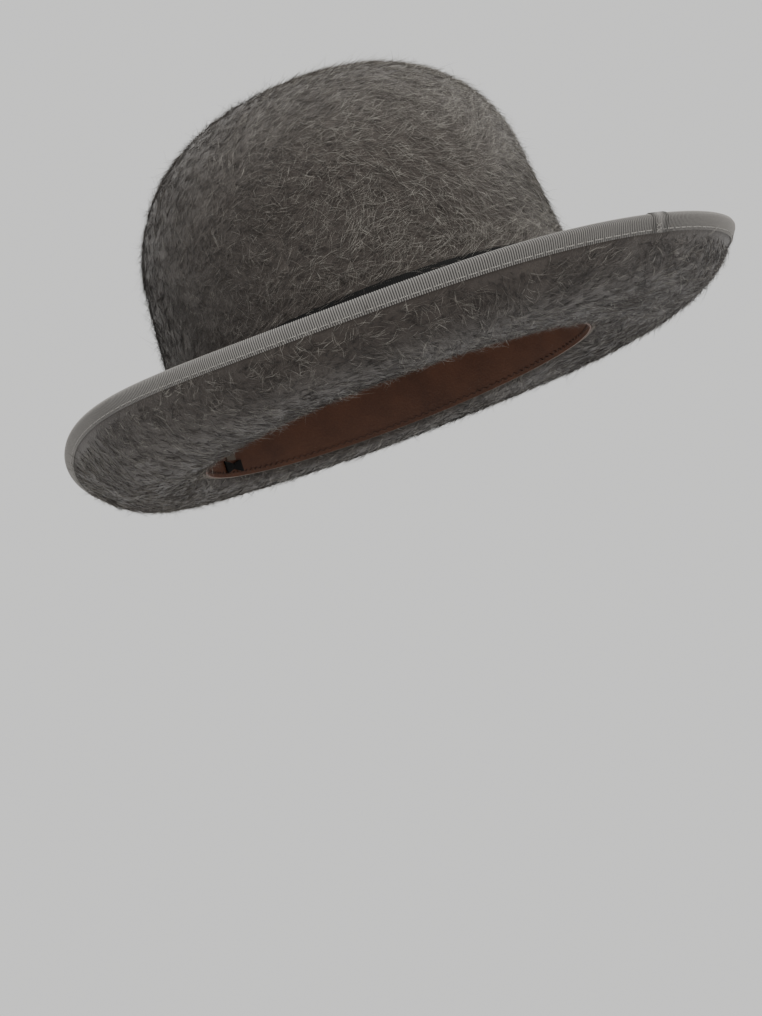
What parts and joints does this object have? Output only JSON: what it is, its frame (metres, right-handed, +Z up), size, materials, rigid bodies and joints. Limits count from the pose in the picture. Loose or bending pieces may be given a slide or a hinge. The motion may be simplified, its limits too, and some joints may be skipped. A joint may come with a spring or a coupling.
{
  "type": "bowler hat",
  "caption": "Wide-brimmed bowler hat in long-haired felt, with rolled brim, ribbon binding, black ribbon band with bow, leather sweatband and satin lining.",
  "frame": {"origin": "centre of the bounding box at the level the brim stands on", "axes": "+Z up through the crown, -Y towards the front of the hat, +X towards the wearer's left, where the bow is"},
  "size_m": [0.2706, 0.3258, 0.1517],
  "materials": {
    "felt": "long-haired fur felt",
    "binding_ribbon": "ribbed grosgrain",
    "thread": "twisted thread",
    "band_ribbon": "ribbed grosgrain, black",
    "leather": "smooth, semi-matt",
    "reed": "plain",
    "cotton_tape": "plain weave",
    "satin": "satin",
    "satin_piping": "corded satin",
    "ticket_paper": "plain"
  },
  "bodies": {
    "root": {"felt_hood": "felt", "brim_binding": "binding_ribbon", "binding_stitching": "thread", "binding_join_stitches": "thread", "hat_band": "band_ribbon", "bow_tail": "band_ribbon", "bow_front_loop": "band_ribbon", "bow_rear_loop": "band_ribbon", "bow_knot": "band_ribbon", "sweatband": "leather", "sweatband_reed": "reed", "reed_tape": "cotton_tape", "sweatband_stitching": "thread", "sweatband_seam_tape": "cotton_tape", "sweatband_bow": "band_ribbon", "size_ticket": "ticket_paper", "lining_side": "satin", "lining_tip": "satin", "lining_piping": "satin_piping"}
  },
  "joints": []
}
